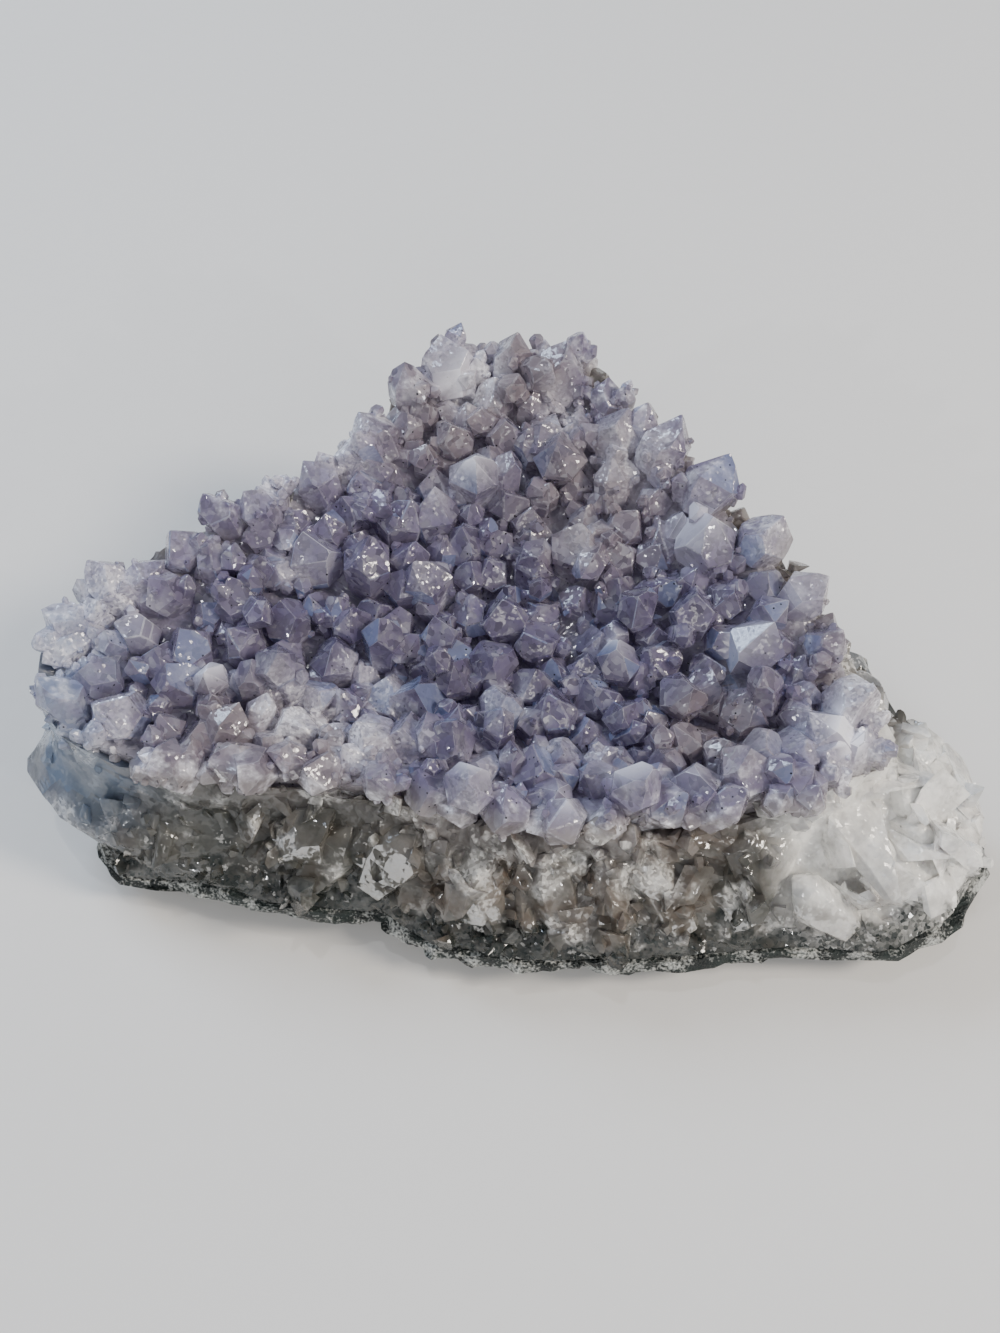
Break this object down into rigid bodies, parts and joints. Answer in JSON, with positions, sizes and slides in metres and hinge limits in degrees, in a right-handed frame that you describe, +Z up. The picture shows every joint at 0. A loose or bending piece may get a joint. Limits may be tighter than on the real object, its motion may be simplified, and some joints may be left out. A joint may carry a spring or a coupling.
{
  "type": "amethyst cluster",
  "caption": "Hand-sized triangular geode piece: pale amethyst points grown together in a shallow hollow, on milky quartz with a thin dark basalt rind.",
  "frame": {"origin": "on the flat spot that the piece rests on, under the middle of its bounding box", "axes": "+X along the longest side, towards the broad milky end; +Y towards the apex of the triangle; +Z up, the way the crystals point"},
  "size_m": [0.1158, 0.0748, 0.0385],
  "materials": {
    "amethyst": "clear to cloudy pale lilac crystal with bright flat faces",
    "milky_quartz": "broken colourless to milky quartz with a wet-looking lustre",
    "basalt": "dull dark green-black rock speckled with white"
  },
  "bodies": {
    "root": {"amethyst_crystals": "amethyst", "quartz_bed": "milky_quartz", "basalt_rind": "basalt"}
  },
  "joints": []
}
